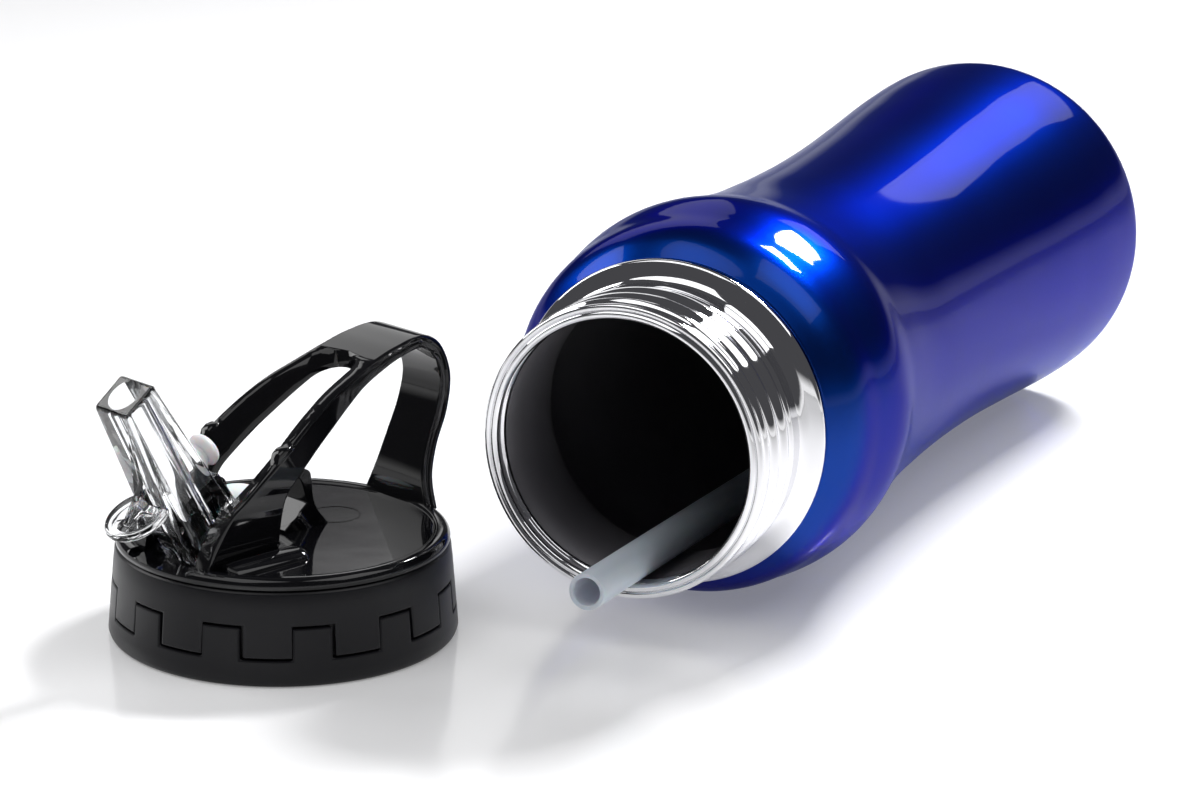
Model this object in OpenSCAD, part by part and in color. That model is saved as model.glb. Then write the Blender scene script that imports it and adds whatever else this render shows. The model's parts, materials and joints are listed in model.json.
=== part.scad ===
// Stainless steel sports bottle lying on its side, with its screw lid set down
// beside the mouth, the lid's straw spout swung up, and the loose straw left in
// the mouth. Millimetres, Z up, everything resting on the plane z = 0. The
// bottle's axis runs along +Y, from the mouth to the base.

/* [Bottle] */
// Radius of the shell at its shoulder and at its base
shell_r = 35; // [33:0.5:37]
// Length of the bottle from the mouth to the base
bottle_len = 194.8; // [185:0.2:205]
// Radius of the shell at its waist
waist_r = 30.9; // [30:0.1:32]
// Distance of the waist from the mouth
waist_at = 103; // [95:1:110]
// Distance of the fullest part of the shoulder from the mouth
shoulder_at = 43; // [42:0.5:46]
// Rounding of the base edge
base_round = 9.5; // [7:0.5:11]
// Thickness of each steel sheet
sheet = 0.6; // [0.5:0.1:0.8]
// Clear gap between the two walls
wall_gap = 1.8; // [1.6:0.1:2]

/* [Neck] */
// Radius of the mouth
mouth_r = 23; // [22.6:0.1:23.2]
// Outer radius of the plain neck
neck_r = 25.2; // [25:0.1:25.4]
// Length of the neck, from the lip to the shoulder
neck_len = 22; // [20:0.5:23]
// Radius of the collar where the neck meets the shoulder
collar_r = 28.8; // [28.4:0.1:29]
// Height of the thread's ridges
thread_h = 0.9; // [0.7:0.1:1]
// Pitch of the thread
thread_pitch = 3.6; // [3.4:0.1:3.8]

/* [Lid] */
// Radius of the skirt at its foot
skirt_r = 30; // [29.5:0.1:30.5]
// Radius of the skirt at its top
skirt_top_r = 28.7; // [28.4:0.1:29]
// Height of the skirt
skirt_h = 16.2; // [15.8:0.1:16.6]
// Level of the deck
deck_z = 17.9; // [17.6:0.1:18.2]
// Level of the top of the rim bead
rim_z = 18.4; // [18.2:0.1:18.6]
// Lowest level of the castellated joint
castle_low = 5; // [4.5:0.1:5.5]
// Highest level of the castellated joint
castle_high = 10.4; // [10:0.1:11]
// Number of teeth round the joint
castle_teeth = 12; // [12:1:12]

/* [Spout] */
// Pivot's distance in front of the lid's centre
pivot_x = -17; // [-17.2:0.1:-16.8]
// Level of the pivot
pivot_z = 18.5; // [18.3:0.1:18.7]
// Outward lean of the open spout, in degrees
spout_lean = 29; // [27:1:30]
// Length of the spout from its pivot
spout_len = 33.6; // [32:0.2:34]
// Width of the spout's tip
tip_w = 9.2; // [9:0.1:9.4]
// Depth of the spout's tip
tip_d = 7.2; // [7:0.1:7.4]
// Radius of the drinking bore
spout_bore_r = 2.8; // [2.6:0.1:2.9]
// Radius of the spout's hub
hub_r = 5.2; // [5:0.1:5.3]

/* [Straw] */
// Outer radius of the straw
straw_r = 3.15; // [3:0.05:3.2]
// Wall of the straw
straw_wall = 0.8; // [0.7:0.1:0.9]
// Length of the straw
straw_len = 190; // [180:1:192]
// How far the straw stands out of the mouth
straw_out = 17.9; // [14:0.1:20]

/* [Layout] */
// Place of the mouth's centre from the origin, across the bottle
mouth_x = 25.4; // [20:0.1:30]
// Place of the mouth's centre from the origin, along the bottle
mouth_y = -71.95; // [-76:0.05:-68]
// Place of the lid's centre from the mouth, across the bottle
lid_dx = -55.8; // [-60:0.2:-55.8]
// Place of the lid's centre from the mouth, along the bottle
lid_dy = -15.5; // [-20:0.5:-15]
// Turn of the lid's handle from the X axis, in degrees
lid_turn = 69; // [65:1:75]

/* [Hidden] */
$fn = 96;

// Widest inner radius of the liner, and the liner's offset from the shell
liner_out = sheet + wall_gap;
liner_in = liner_out + sheet;
// Inner and outer radius of the liner's neck, just inside the threaded neck
liner_neck_in = neck_r - 2 * sheet - 0.25;
liner_neck_r = liner_neck_in + sheet;
steel = [0.78, 0.79, 0.81];
blue = [0.03, 0.10, 0.55];
satin_black = [0.09, 0.09, 0.10];
gloss_black = [0.05, 0.05, 0.06];
milky = [0.80, 0.84, 0.88];
clear = [0.90, 0.93, 0.95];
silicone = [0.93, 0.93, 0.92];

// ---- helpers -------------------------------------------------------------

// One point of a Catmull-Rom curve between b and c
function curve_at(a, b, c, d, t) =
    0.5 * (2 * b + (c - a) * t + (2 * a - 5 * b + 4 * c - d) * t * t
           + (3 * b - a - 3 * c + d) * t * t * t);

// A smooth open curve through pts, with n steps between neighbours
function curve(pts, n) = [
    for (i = [0 : len(pts) - 2])
        for (k = [0 : n - 1])
            curve_at(pts[max(i - 1, 0)], pts[i], pts[i + 1],
                     pts[min(i + 2, len(pts) - 1)], k / n),
    pts[len(pts) - 1]
];

function reversed(pts) = [for (i = [len(pts) - 1 : -1 : 0]) pts[i]];

// Slope of radius over length between knots i and i + 1 of a turned profile
function secant(k, i) = (k[i + 1][0] - k[i][0]) / (k[i + 1][1] - k[i][1]);

// Slope of the profile at knot i, weighted by the spans on its two sides
function slope(k, i) =
    i == 0 ? secant(k, 0) :
    i == len(k) - 1 ? 0 :
    let (a = k[i][1] - k[i - 1][1], b = k[i + 1][1] - k[i][1])
        (a * secant(k, i) + b * secant(k, i - 1)) / (a + b);

// A smooth turned profile through knots k, with n steps between neighbours
function turned(k, n) = [
    for (i = [0 : len(k) - 2])
        let (h = k[i + 1][1] - k[i][1])
            for (j = [0 : n - 1])
                let (t = j / n, u = 1 - t)
                    [(1 + 2 * t) * u * u * k[i][0] + t * u * u * h * slope(k, i)
                     + t * t * (3 - 2 * t) * k[i + 1][0] - t * t * u * h * slope(k, i + 1),
                     k[i][1] + t * h],
    k[len(k) - 1]
];

// Outline of the shell as [radius, distance from the mouth], drawn in by off
function shell_knots(off) = [
    [collar_r - off - 0.3, neck_len + 0.05],
    [collar_r + 2.6 - off, neck_len + 3.4],
    [shell_r - 1.1 - off, shoulder_at - 8],
    [shell_r - 0.05 - off, shoulder_at],
    [shell_r - 1.5 - off, shoulder_at + 10.5],
    [waist_r + 1.1 - off, shoulder_at + 24],
    [waist_r + 0.25 - off, waist_at - 18],
    [waist_r - off, waist_at],
    [waist_r + 0.65 - off, waist_at + 27],
    [shell_r - 1.85 - off, bottle_len - 40],
    [shell_r - 0.4 - off, bottle_len - 20],
    [shell_r - off, bottle_len - base_round]
];

// Quarter round of the base edge, drawn in by off
function base_corner(off) = [
    for (a = [6 : 6 : 84])
        [shell_r - base_round + (base_round - off) * cos(a),
         bottle_len - base_round + (base_round - off) * sin(a)]
];

// Puts a shape drawn along +Z from the mouth onto the lying bottle
module bottle_pose() {
    translate([mouth_x, mouth_y, shell_r]) rotate([-90, 0, 0]) children();
}

// Puts a shape drawn in the lid's frame, handle along +X, beside the mouth
module lid_pose() {
    translate([mouth_x + lid_dx, mouth_y + lid_dy, 0]) rotate([0, 0, lid_turn]) children();
}

// Spout frame: +Z along the spout from its pivot, +X towards its back
module spout_pose() {
    lid_pose() translate([pivot_x, 0, pivot_z]) rotate([0, -spout_lean, 0]) children();
}

// Extrudes an outline drawn as [x, z] across the lid, to half_w each side
module across(half_w) {
    rotate([90, 0, 0]) translate([0, 0, -half_w]) linear_extrude(2 * half_w) children();
}

// ---- bottle --------------------------------------------------------------

// Painted outer wall, open at the neck and closed by the base cap
module body_shell() {
    outer = concat(turned(shell_knots(0), 5), base_corner(0));
    inner = concat(turned(shell_knots(sheet), 5), base_corner(sheet));
    color(blue) bottle_pose() rotate_extrude()
        polygon(concat(outer, reversed(inner)));
}

// Bare steel neck: rolled lip, thread ridges and the collar at the shoulder
module threaded_neck() {
    lip_r = 1.3;
    ridge_w = 1.7;
    inner_r = liner_neck_r + 0.05;
    color(steel) bottle_pose() union() {
        rotate_extrude() polygon([
            [inner_r, lip_r], [neck_r, lip_r], [neck_r, neck_len - 5], [neck_r + 0.5, neck_len - 3.4],
            [collar_r - 0.6, neck_len - 2.6], [collar_r, neck_len - 1.9], [collar_r, neck_len - 0.6],
            [collar_r - 0.5, neck_len], [collar_r - 0.9, neck_len], [collar_r - sheet, neck_len - 0.9],
            [collar_r - sheet, neck_len - 1.6], [collar_r - 1, neck_len - 2],
            [neck_r - 0.2, neck_len - 2.8], [inner_r, neck_len - 4.6]]);
        rotate_extrude() translate([mouth_r + lip_r, lip_r]) circle(lip_r, $fn = 32);
        for (k = [0 : 2])
            translate([0, 0, 4.6 + k * thread_pitch]) rotate_extrude()
                polygon([[neck_r - 0.3, -ridge_w], [neck_r, -ridge_w], [neck_r + thread_h, -0.4],
                         [neck_r + thread_h, 0.4], [neck_r, ridge_w], [neck_r - 0.3, ridge_w]]);
    }
}

// Inner wall, welded to the neck at the lip, with its own closed floor
module inner_liner() {
    top = 2.62;
    floor_y = bottle_len - 7;
    body_out = turned([for (i = [2 : 11]) shell_knots(liner_out)[i]], 5);
    body_in = turned([for (i = [2 : 11]) shell_knots(liner_in)[i]], 5);
    edge_out = [for (p = body_out) if (p[1] < floor_y - 7) p];
    edge_in = [for (p = body_in) if (p[1] < floor_y - 7) p];
    foot_r = edge_out[len(edge_out) - 1][0];
    color(steel) bottle_pose() rotate_extrude() polygon(concat(
        [[liner_neck_in, top], [liner_neck_r, top], [liner_neck_r, neck_len + 2]], edge_out,
        [[foot_r - 0.6, floor_y - 3], [foot_r - 4, floor_y], [0, floor_y],
         [0, floor_y - sheet], [foot_r - 4.3, floor_y - sheet], [foot_r - 1.2, floor_y - 3.3]],
        reversed(edge_in), [[liner_neck_in, neck_len + 2.3]]));
}

// Pressed disc that closes the outer wall, recessed inside its standing ring
module base_cap() {
    edge_r = shell_r - base_round + (base_round - sheet) * cos(84) - 0.05;
    recess = 2.4;
    color(steel) bottle_pose() rotate_extrude() polygon([
        [0, bottle_len - recess - sheet], [edge_r - 6, bottle_len - recess - sheet],
        [edge_r - 4, bottle_len - sheet], [edge_r, bottle_len - sheet], [edge_r, bottle_len],
        [edge_r - 4.4, bottle_len], [edge_r - 6.4, bottle_len - recess], [0, bottle_len - recess]]);
}

// Loose drinking straw, resting on the neck's inner end and near the waist
module straw() {
    slope = 0.045;
    rest_z = shell_r - liner_neck_in + straw_r + 0.1 + slope * (neck_len + 2.3);
    color(milky) translate([mouth_x + 2, mouth_y, rest_z]) rotate([-90 - atan(slope), 0, 1])
        translate([0, 0, -straw_out]) difference() {
            cylinder(h = straw_len, r = straw_r);
            translate([0, 0, -1]) cylinder(h = straw_len + 2, r = straw_r - straw_wall);
        }
}

// ---- lid -----------------------------------------------------------------

// Angle over which a raised tooth of the grip ring runs, in degrees
tooth_deg = 13;
sleeve_r = 28.3;
sleeve_in = 27;

// Outer radius of the skirt at a level
function skirt_at(z) = skirt_r + (skirt_top_r - skirt_r) * max(z - 1.2, 0) / (skirt_h - 1.2);

// Sector of a disc between two radii, centred on +X
module sector(r_in, r_out, deg) {
    difference() {
        polygon([[0, 0], for (i = [0 : 4]) (r_out + 2) * [cos(deg * (i / 4 - 0.5)), sin(deg * (i / 4 - 0.5))]]);
        circle(r_in);
    }
}

// The teeth of the grip ring between two levels, widened by grow degrees
module teeth(z_low, z_high, grow) {
    for (k = [0 : castle_teeth - 1])
        rotate([0, 0, k * 360 / castle_teeth]) translate([0, 0, z_low])
            linear_extrude(z_high - z_low) sector(sleeve_r - 1, skirt_r, tooth_deg + grow);
}

// Lower band of the skirt, with square teeth that lock into the skirt above
module lid_grip_ring() {
    color(satin_black) lid_pose() difference() {
        rotate_extrude() polygon([
            [sleeve_r + 0.05, 0], [skirt_r - 0.9, 0], [skirt_r - 0.3, 0.35], [skirt_r, 1.2],
            [skirt_at(castle_high), castle_high], [sleeve_r + 0.05, castle_high]]);
        translate([0, 0, castle_low]) difference() {
            cylinder(h = castle_high, r = skirt_r + 2);
            translate([0, 0, -castle_low - 1]) teeth(0, castle_high + 12, 0);
        }
    }
}

// Threaded skirt: the inner sleeve and the band above the grip ring
module lid_skirt() {
    gap = 0.2;
    ridge_r = 26.15;
    color(satin_black) lid_pose() difference() {
        union() {
            rotate_extrude() polygon([
                [sleeve_in, 0.8], [sleeve_r, 0.8], [sleeve_r, castle_low + gap],
                [skirt_at(castle_low), castle_low + gap], [skirt_top_r, skirt_h - 0.6],
                [skirt_top_r - 0.6, skirt_h], [sleeve_in, skirt_h]]);
            for (k = [0 : 2])
                translate([0, 0, 3 + k * thread_pitch]) rotate_extrude()
                    polygon([[ridge_r, -0.3], [sleeve_in + 0.3, -1.3], [sleeve_in + 0.3, 1.3], [ridge_r, 0.3]]);
        }
        difference() {
            teeth(castle_low - 1, castle_high + gap, 0.8);
            cylinder(h = 2 * skirt_h, r = sleeve_r);
        }
    }
}

// Outline of the side wall inside the loop's front leg, as [x, z]
wall_outline = [[-23, deck_z - 0.3], [-23, deck_z + 0.6], [-19.5, 23.4], [-13.6, 26.6], [-9.6, 28], [-8.2, 26.4],
                [-7.6, 22], [-5, deck_z - 0.3]];
// Outline of the post behind the spout, with the plug's seat on its front
post_outline = concat([[-1.9, deck_z - 0.3], [-1.9, 18.35], [3.1, 22.42], [2.55, 24.8], [1.65, 27], [2.8, 28.2],
                       [3.5, 28.2]],
                      curve([[3.7, 28], [4.3, 26], [4.6, 23], [5.4, 21], [6.6, 19.4], [8.2, deck_z - 0.3]], 3));
// Half-width of the trough between the side walls, and their thickness
trough_w = 5;
web = 1;
// Radius of the spout's stub axles, and how far out they reach
axle_r = 1.6;
axle_end = 7.4;
// Radius at which the plug's head meets its seat when the spout is folded
plug_reach = 9.6;
fold_tilt = 51;

// Folded spout's frame, used for the seat that its plug closes
module folded_plug_pose() {
    translate([pivot_x, 0, pivot_z]) rotate([0, fold_tilt, 0]) translate([0, 0, plug_s]) rotate([0, 90, 0])
        children();
}

// Gloss top of the lid: deck, rim bead, trough, side walls and straw socket
module lid_top() {
    cup_low = 10.2;
    floor_z = 11.4;
    cup_in = -5.4;
    socket_x = pivot_x + 2.7;
    ring_r = 22.6;
    color(gloss_black) lid_pose() difference() {
        union() {
            // deck, rim and the collar that plugs the skirt
            rotate_extrude() polygon(concat(
                [[0, 16], [ring_r, 16], [ring_r, 14.8], [22.9, 14.8], [22.9, 16], [26.9, 16],
                 [26.9, skirt_h + 0.05], [28.6, skirt_h + 0.05]],
                [for (a = [0 : 15 : 90]) [27.1 + 1.5 * cos(a), rim_z - 1.5 + 1.5 * sin(a)]],
                [[26.2, rim_z], [25.7, deck_z], [0, deck_z]]));
            // cup under the spout's hub, rounded in front to fit inside the mouth
            intersection() {
                translate([0, 0, cup_low]) cylinder(h = 6.5, r = ring_r);
                translate([-24, -trough_w - 1.1, cup_low]) cube([25.2 + cup_in, 2 * trough_w + 2.2, 6.5]);
            }
            // socket that the straw pushes into
            translate([socket_x, 0, 3.4]) cylinder(h = cup_low - 3.2, r = 4.6);
            // side walls of the trough
            for (s = [-1, 1])
                translate([0, s * (trough_w + web / 2), 0]) across(web / 2) polygon(wall_outline);
            // bosses between the walls and the loop's legs, for the stub axles
            for (s = [-1, 1])
                translate([pivot_x, s * 6.7, pivot_z]) rotate([90, 0, 0])
                    cylinder(h = 3.2, r = 2.5, center = true, $fn = 48);
            // low rounded ridge at the foot of each front leg
            for (s = [-1, 1])
                translate([-22.4, s * 10.2, deck_z - 0.4]) intersection() {
                    union() {
                        rotate([0, 90, 0]) cylinder(h = 16.6, r = 1.8, $fn = 48);
                        translate([16.6, 0, 0]) sphere(1.8, $fn = 48);
                    }
                    translate([-1, -3, 0]) cube([24, 6, 3]);
                }
            // post behind the spout, and the seat that the folded spout's plug closes
            across(2.6) polygon(post_outline);
            intersection() {
                folded_plug_pose() translate([0, 0, plug_reach]) cylinder(h = 8, r = 3, $fn = 48);
                translate([-6, -4, deck_z - 1]) cube([14, 8, 8]);
            }
        }
        // trough for the spout: round under the hub, deep for the seal, shallow in front
        translate([pivot_x, 0, pivot_z]) rotate([90, 0, 0]) translate([0, 0, -trough_w])
            cylinder(h = 2 * trough_w, r = hub_r + 0.15);
        translate([-21.3, -trough_w, floor_z]) cube([21.3 + cup_in, 2 * trough_w, 20]);
        translate([-24.4, -trough_w, 17]) cube([8, 2 * trough_w, 10]);
        // holes for the spout's stub axles
        translate([pivot_x, 0, pivot_z]) rotate([90, 0, 0]) translate([0, 0, -axle_end - 0.1])
            cylinder(h = 2 * axle_end + 0.2, r = axle_r + 0.05, $fn = 48);
        // waterway from the spout into the straw's socket
        translate([socket_x, 0, 3]) cylinder(h = 9, r = 2);
        translate([socket_x, 0, 3]) cylinder(h = 6.4, r = straw_r + 0.1);
        // air vent through the seat and the deck
        folded_plug_pose() translate([0, 0, plug_reach - 1]) cylinder(h = 11, r = 0.9, $fn = 32);
        // hole for the valve's stem
        translate([6.5, 20.4, 15]) cylinder(h = 4, r = 1.25, $fn = 32);
    }
}

// Side outline of the loop: outside edge from the front foot to the rear foot
loop_outer = [[-24.6, deck_z - 0.3], [-23.5, 21.2], [-20.2, 26.2], [-16.3, 29], [-9.7, 34], [-4.5, 37.8],
              [0, 40.6], [4, 42.7], [10, 45], [15, 46.7], [20, 48.1], [26, 48.8], [31, 46.4], [33.8, 40.5],
              [33, 34], [30.4, 28], [28.5, 22.6], [27.9, deck_z - 0.3]];
// Inside edge, from the rear foot back to the front foot
loop_inner = [[25.4, deck_z - 0.3], [26.2, 22.8], [28, 28.4], [30.6, 34.6], [31.5, 40], [29.8, 44], [26.2, 46.4],
              [21, 45.8], [15, 43.8], [11, 41.8], [7.5, 39.6], [3.8, 37.1], [0, 34.4], [-4.7, 30.6],
              [-7.2, 28.1], [-8.4, 25], [-9, 21]];

// Carrying loop: two front legs that part round the spout, joined at the top
// and carried down by one rear leg
module carry_loop() {
    half_w = [[-25.2, 10.2], [-18, 10.5], [-9, 10.5], [-4, 9.9], [4, 8.6], [12, 7.6], [24, 6.9],
              [29, 5.8], [35.5, 5.3]];
    slot_end = 14.8;
    slot_r = 5.3;
    slot_w = [[-26, 6.6], [-20, 7.5], [-14, 8.2], [-8, 8.2], [0, 7]];
    band = concat(curve(loop_outer, 5), curve(loop_inner, 5), [[-9.2, deck_z - 0.3]]);
    color(gloss_black) lid_pose() difference() {
        union() {
            intersection() {
                across(12) polygon(band);
                translate([0, 0, deck_z - 1]) linear_extrude(40)
                    polygon(concat(half_w, [for (p = reversed(half_w)) [p[0], -p[1]]]));
            }
            intersection() {
                across(12) polygon(band);
                translate([24, 0, 0]) rotate([90, 0, 90]) linear_extrude(8) polygon([
                    [-8.6, deck_z - 0.3], [-7.2, 20.4], [-6.2, 23.6], [-5.6, 28],
                    [5.6, 28], [6.2, 23.6], [7.2, 20.4], [8.6, deck_z - 0.3]]);
            }
        }
        translate([0, 0, deck_z - 1]) linear_extrude(40) union() {
            translate([slot_end - slot_r, 0]) circle(slot_r);
            polygon(concat([[slot_end - slot_r, slot_r]], reversed(slot_w),
                           [for (p = slot_w) [p[0], -p[1]]], [[slot_end - slot_r, -slot_r]]));
        }
    }
}

// Soft ring under the deck that seals on the bottle's lip
module lid_gasket() {
    color(silicone) lid_pose() rotate_extrude()
        polygon([[22.95, 14.4], [26.6, 14.4], [26.8, 14.8], [26.8, 15.9], [22.95, 15.9]]);
}

// Silicone air valve on the deck, a shallow dome on a stem
module vent_valve() {
    dome_r = 4.4;
    dome_h = 1.3;
    ball_r = (dome_r * dome_r + dome_h * dome_h) / (2 * dome_h);
    color(silicone) lid_pose() translate([6.5, 20.4, 0]) union() {
        translate([0, 0, deck_z + 0.02]) intersection() {
            translate([0, 0, dome_h - ball_r]) sphere(ball_r, $fn = 96);
            cylinder(h = dome_h, r = dome_r);
        }
        translate([0, 0, 15.1]) cylinder(h = 3.2, r = 1.2, $fn = 32);
    }
}

// ---- spout ---------------------------------------------------------------

// Heights of the plug and the thumb tab above the pivot
plug_s = 14.8;
tab_s = 14;

// Clear drinking spout: tapered square tube on a hub, with a thumb tab in
// front and a lug behind
module spout() {
    base_t = 5.8;
    hub_half = 4.7;
    tilt = 0.6;
    color(clear) spout_pose() difference() {
        union() {
            intersection() {
                across(8) polygon([[-hub_r, 0], [-hub_r, 2.5], [-base_t, 6.5], [-tip_d / 2, spout_len - tilt],
                                   [tip_d / 2, spout_len + tilt], [base_t, 6.5], [hub_r, 2.5], [hub_r, 0]]);
                rotate([0, 90, 0]) translate([0, 0, -10]) linear_extrude(20)
                    polygon([[0, -hub_half], [-spout_len - 1, -tip_w / 2], [-spout_len - 1, tip_w / 2],
                             [0, hub_half]]);
            }
            rotate([90, 0, 0]) translate([0, 0, -hub_half]) cylinder(h = 2 * hub_half, r = hub_r);
            // stub axles at both ends of the hub
            rotate([90, 0, 0]) translate([0, 0, -axle_end]) cylinder(h = 2 * axle_end, r = axle_r, $fn = 48);
            // lug behind the tube
            across(2.8) polygon([[3, 3], [7.8, 4.2], [7.2, 11.4], [3, 11.8]]);
            // thumb tab and its rib
            translate([-8.4, 0, tab_s - 0.6]) cylinder(h = 1.2, r = 5.5);
            across(0.6) polygon([[-4, tab_s], [-11, tab_s + 0.5], [-4, tab_s + 5]]);
        }
        translate([0, 0, -8]) cylinder(h = spout_len + 12, r = spout_bore_r);
    }
}

// Silicone plug on the spout's back, a flanged foot and a domed head
module vent_plug() {
    foot_t = 5.2;
    head_r = 3;
    round_r = 1.4;
    top = plug_reach - 0.05 - foot_t;
    color(silicone) spout_pose() translate([foot_t, 0, plug_s]) rotate([0, 90, 0]) rotate_extrude($fn = 64)
        polygon(concat([[0, 0], [head_r, 0], [head_r, 0.9], [2.2, 1.1], [2.1, 1.9]],
                       [for (a = [0 : 15 : 90])
                           [head_r - round_r + round_r * cos(a), top - round_r + round_r * sin(a)]],
                       [[0, top]]));
}

// Silicone cradle that seals under the spout's hub
module spout_seal() {
    color(silicone) lid_pose() difference() {
        translate([-21.2, -trough_w + 0.1, 11.45]) cube([10, 2 * trough_w - 0.2, 3.5]);
        translate([pivot_x, 0, pivot_z]) rotate([90, 0, 0]) translate([0, 0, -8])
            cylinder(h = 16, r = hub_r + 0.08);
        translate([pivot_x + 2.7, 0, 11]) cylinder(h = 5, r = 2);
    }
}

body_shell();
threaded_neck();
inner_liner();
base_cap();
straw();
lid_skirt();
lid_grip_ring();
lid_top();
carry_loop();
lid_gasket();
vent_valve();
spout();
spout_seal();
vent_plug();
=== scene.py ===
import json
import math

import bpy
from mathutils import Matrix, Vector


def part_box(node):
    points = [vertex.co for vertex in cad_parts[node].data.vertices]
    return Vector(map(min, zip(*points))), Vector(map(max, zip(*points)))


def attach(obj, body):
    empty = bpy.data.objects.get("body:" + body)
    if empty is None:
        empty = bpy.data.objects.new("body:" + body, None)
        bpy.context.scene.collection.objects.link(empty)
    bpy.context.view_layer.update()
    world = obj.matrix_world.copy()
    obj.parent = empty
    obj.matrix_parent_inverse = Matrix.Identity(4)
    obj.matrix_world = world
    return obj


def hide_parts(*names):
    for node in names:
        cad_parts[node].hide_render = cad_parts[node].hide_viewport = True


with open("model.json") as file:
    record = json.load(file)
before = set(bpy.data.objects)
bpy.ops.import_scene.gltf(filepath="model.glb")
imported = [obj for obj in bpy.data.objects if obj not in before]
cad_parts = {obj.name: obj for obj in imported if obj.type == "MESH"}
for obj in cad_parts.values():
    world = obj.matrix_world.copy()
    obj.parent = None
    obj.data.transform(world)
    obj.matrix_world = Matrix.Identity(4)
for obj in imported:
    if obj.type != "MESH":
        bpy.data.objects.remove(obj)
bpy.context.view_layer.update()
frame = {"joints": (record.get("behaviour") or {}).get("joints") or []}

# --- Body shell -----------------------------------------------------------------------------
# The outer wall is drawn from one sheet of stainless steel: a full shoulder, a long waist and
# a rounded base edge. It is sprayed with a candy blue over silver and then clear coated.

MM = 0.001
neck_low, neck_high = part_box("threaded_neck")
base_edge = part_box("base_cap")[1].y
mouth = Vector(((neck_low.x + neck_high.x) / 2, neck_low.y, (neck_low.z + neck_high.z) / 2))
ALONG, ACROSS, UP = Vector((0, 1, 0)), Vector((1, 0, 0)), Vector((0, 0, 1))


def fair(knots, steps):
    """A smooth run of (radius, distance) points through the knots, for a turned outline."""
    def rise(i):
        return (knots[i + 1][0] - knots[i][0]) / (knots[i + 1][1] - knots[i][1])

    def slope(i):
        if i == 0:
            return rise(0)
        if i == len(knots) - 1:
            return 0
        before, after = knots[i][1] - knots[i - 1][1], knots[i + 1][1] - knots[i][1]
        return (before * rise(i) + after * rise(i - 1)) / (before + after)

    points = []
    for i in range(len(knots) - 1):
        (ra, sa), (rb, sb) = knots[i], knots[i + 1]
        span = sb - sa
        for k in range(steps):
            t, u = k / steps, 1 - k / steps
            radius = (1 + 2 * t) * u * u * ra + t * u * u * span * slope(i)
            radius += t * t * (3 - 2 * t) * rb - t * t * u * span * slope(i + 1)
            points.append((radius, sa + t * span))
    return points + [knots[-1]]


def arc(radius, distance, size, start, end, steps):
    """Points of a round corner: its centre, its size, and its first and last angle in degrees."""
    turns = [math.radians(start + (end - start) * k / steps) for k in range(steps + 1)]
    return [(radius + size * math.cos(a), distance + size * math.sin(a)) for a in turns]


def trace(points, first):
    """Draws a line of edges through the points, and leaves it in edit mode."""
    bpy.ops.object.select_all(action="DESELECT")
    bpy.ops.mesh.primitive_plane_add(size=MM, location=first)
    bpy.ops.object.transform_apply(location=True)
    bpy.ops.object.mode_set(mode="EDIT")
    bpy.ops.mesh.merge(type="CENTER")
    for here, there in zip(points, points[1:]):
        bpy.ops.mesh.extrude_vertices_move(TRANSFORM_OT_translate={"value": there - here})
    return bpy.context.object


def turned(name, outline, centre, axis, side, sides=192, closed=False):
    """Spins an outline of (radius, distance along the axis), in millimetres, about the axis."""
    if closed:
        outline = outline + outline[:1]
    points = [centre + axis * s * MM + side * max(r, 0.001) * MM for r, s in outline]
    piece = trace(points, points[0])
    piece.name = name
    bpy.ops.mesh.select_all(action="SELECT")
    bpy.ops.mesh.spin(steps=sides, angle=math.tau, center=centre, axis=axis)
    bpy.ops.mesh.select_all(action="SELECT")
    bpy.ops.mesh.remove_doubles(threshold=0.005 * MM)
    bpy.ops.mesh.normals_make_consistent(inside=False)
    bpy.ops.object.mode_set(mode="OBJECT")
    bpy.ops.object.shade_smooth_by_angle(angle=math.radians(35))
    return piece


def apply(piece, kind, **settings):
    """Adds one modifier to a piece and applies it."""
    bpy.ops.object.select_all(action="DESELECT")
    piece.select_set(True)
    bpy.context.view_layer.objects.active = piece
    modifier = piece.modifiers.new(kind.title(), kind)
    for key, value in settings.items():
        setattr(modifier, key, value)
    bpy.ops.object.modifier_apply(modifier=modifier.name)
    return piece


class Signal:
    """A value that runs through a finish's nodes, so that sums on it are written as sums."""

    def __init__(self, finish, socket):
        self.finish, self.socket = finish, socket

    def math(self, operation, *others):
        return self.finish.node("ShaderNodeMath", {"operation": operation}, dict(enumerate((self, *others))))

    def __add__(self, other): return self.math("ADD", other)
    def __radd__(self, other): return self.math("ADD", other)
    def __mul__(self, other): return self.math("MULTIPLY", other)
    def __rmul__(self, other): return self.math("MULTIPLY", other)
    def __sub__(self, other): return self.math("SUBTRACT", other)
    def __rsub__(self, other): return self.finish.node("ShaderNodeMath", {"operation": "SUBTRACT"}, {0: other, 1: self})
    def __pow__(self, other): return self.math("POWER", other)
    def __truediv__(self, other): return self.math("DIVIDE", other)


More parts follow.
